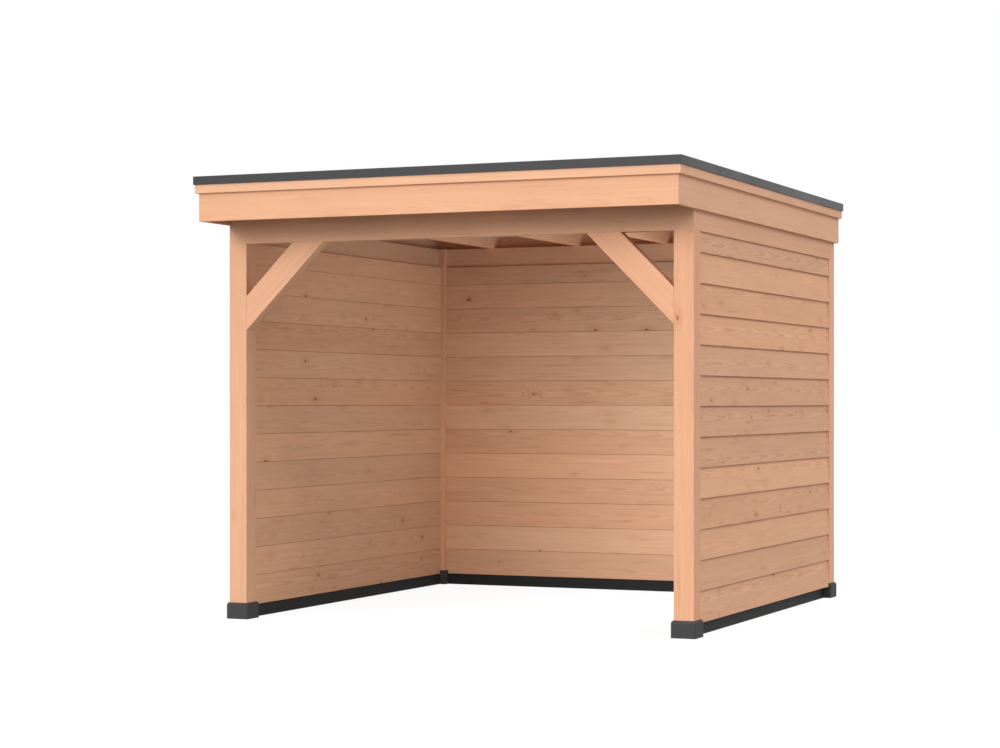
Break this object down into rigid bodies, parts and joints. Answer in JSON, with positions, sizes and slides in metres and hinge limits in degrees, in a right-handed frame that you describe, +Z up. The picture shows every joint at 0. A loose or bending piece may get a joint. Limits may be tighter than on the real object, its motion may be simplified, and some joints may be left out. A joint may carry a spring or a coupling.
{
  "type": "garden canopy",
  "caption": "Square timber garden canopy with three boarded walls, an open braced front and a flat roof that reaches out over the front, standing on dark moulded feet.",
  "frame": {"origin": "on the ground, under the middle of the roof", "axes": "+X to the right seen from the open front, +Y from the open front to the back wall, +Z up"},
  "size_m": [3.096, 3.414, 2.687],
  "materials": {
    "frame_timber": "planed, untreated",
    "wall_boards": "planed, untreated",
    "roof_timber": "planed, untreated",
    "roof_edge_boards": "planed, untreated",
    "moulded_feet": "fine moulded grain",
    "base_rails": "fine moulded grain",
    "edge_trim": "matt graphite coating",
    "roof_membrane": "matt sheet"
  },
  "bodies": {
    "root": {"front_left_post": "frame_timber", "front_right_post": "frame_timber", "back_left_post": "frame_timber", "back_right_post": "frame_timber", "front_left_foot": "moulded_feet", "front_right_foot": "moulded_feet", "back_left_foot": "moulded_feet", "back_right_foot": "moulded_feet", "left_base_rail": "base_rails", "right_base_rail": "base_rails", "back_base_rail": "base_rails", "left_outer_boards": "wall_boards", "right_outer_boards": "wall_boards", "back_outer_boards": "wall_boards", "left_inner_boards": "wall_boards", "right_inner_boards": "wall_boards", "back_inner_boards": "wall_boards", "front_header": "frame_timber", "back_beam": "frame_timber", "left_beam": "frame_timber", "right_beam": "frame_timber", "left_brace": "frame_timber", "right_brace": "frame_timber", "rafter_1": "roof_timber", "rafter_2": "roof_timber", "rafter_3": "roof_timber", "rafter_4": "roof_timber", "roof_deck": "roof_timber", "roof_membrane": "roof_membrane", "front_fascia": "roof_edge_boards", "back_fascia": "roof_edge_boards", "left_fascia": "roof_edge_boards", "right_fascia": "roof_edge_boards", "front_strip": "roof_edge_boards", "back_strip": "roof_edge_boards", "left_strip": "roof_edge_boards", "right_strip": "roof_edge_boards", "front_trim": "edge_trim", "back_trim": "edge_trim", "left_trim": "edge_trim", "right_trim": "edge_trim"}
  },
  "joints": []
}
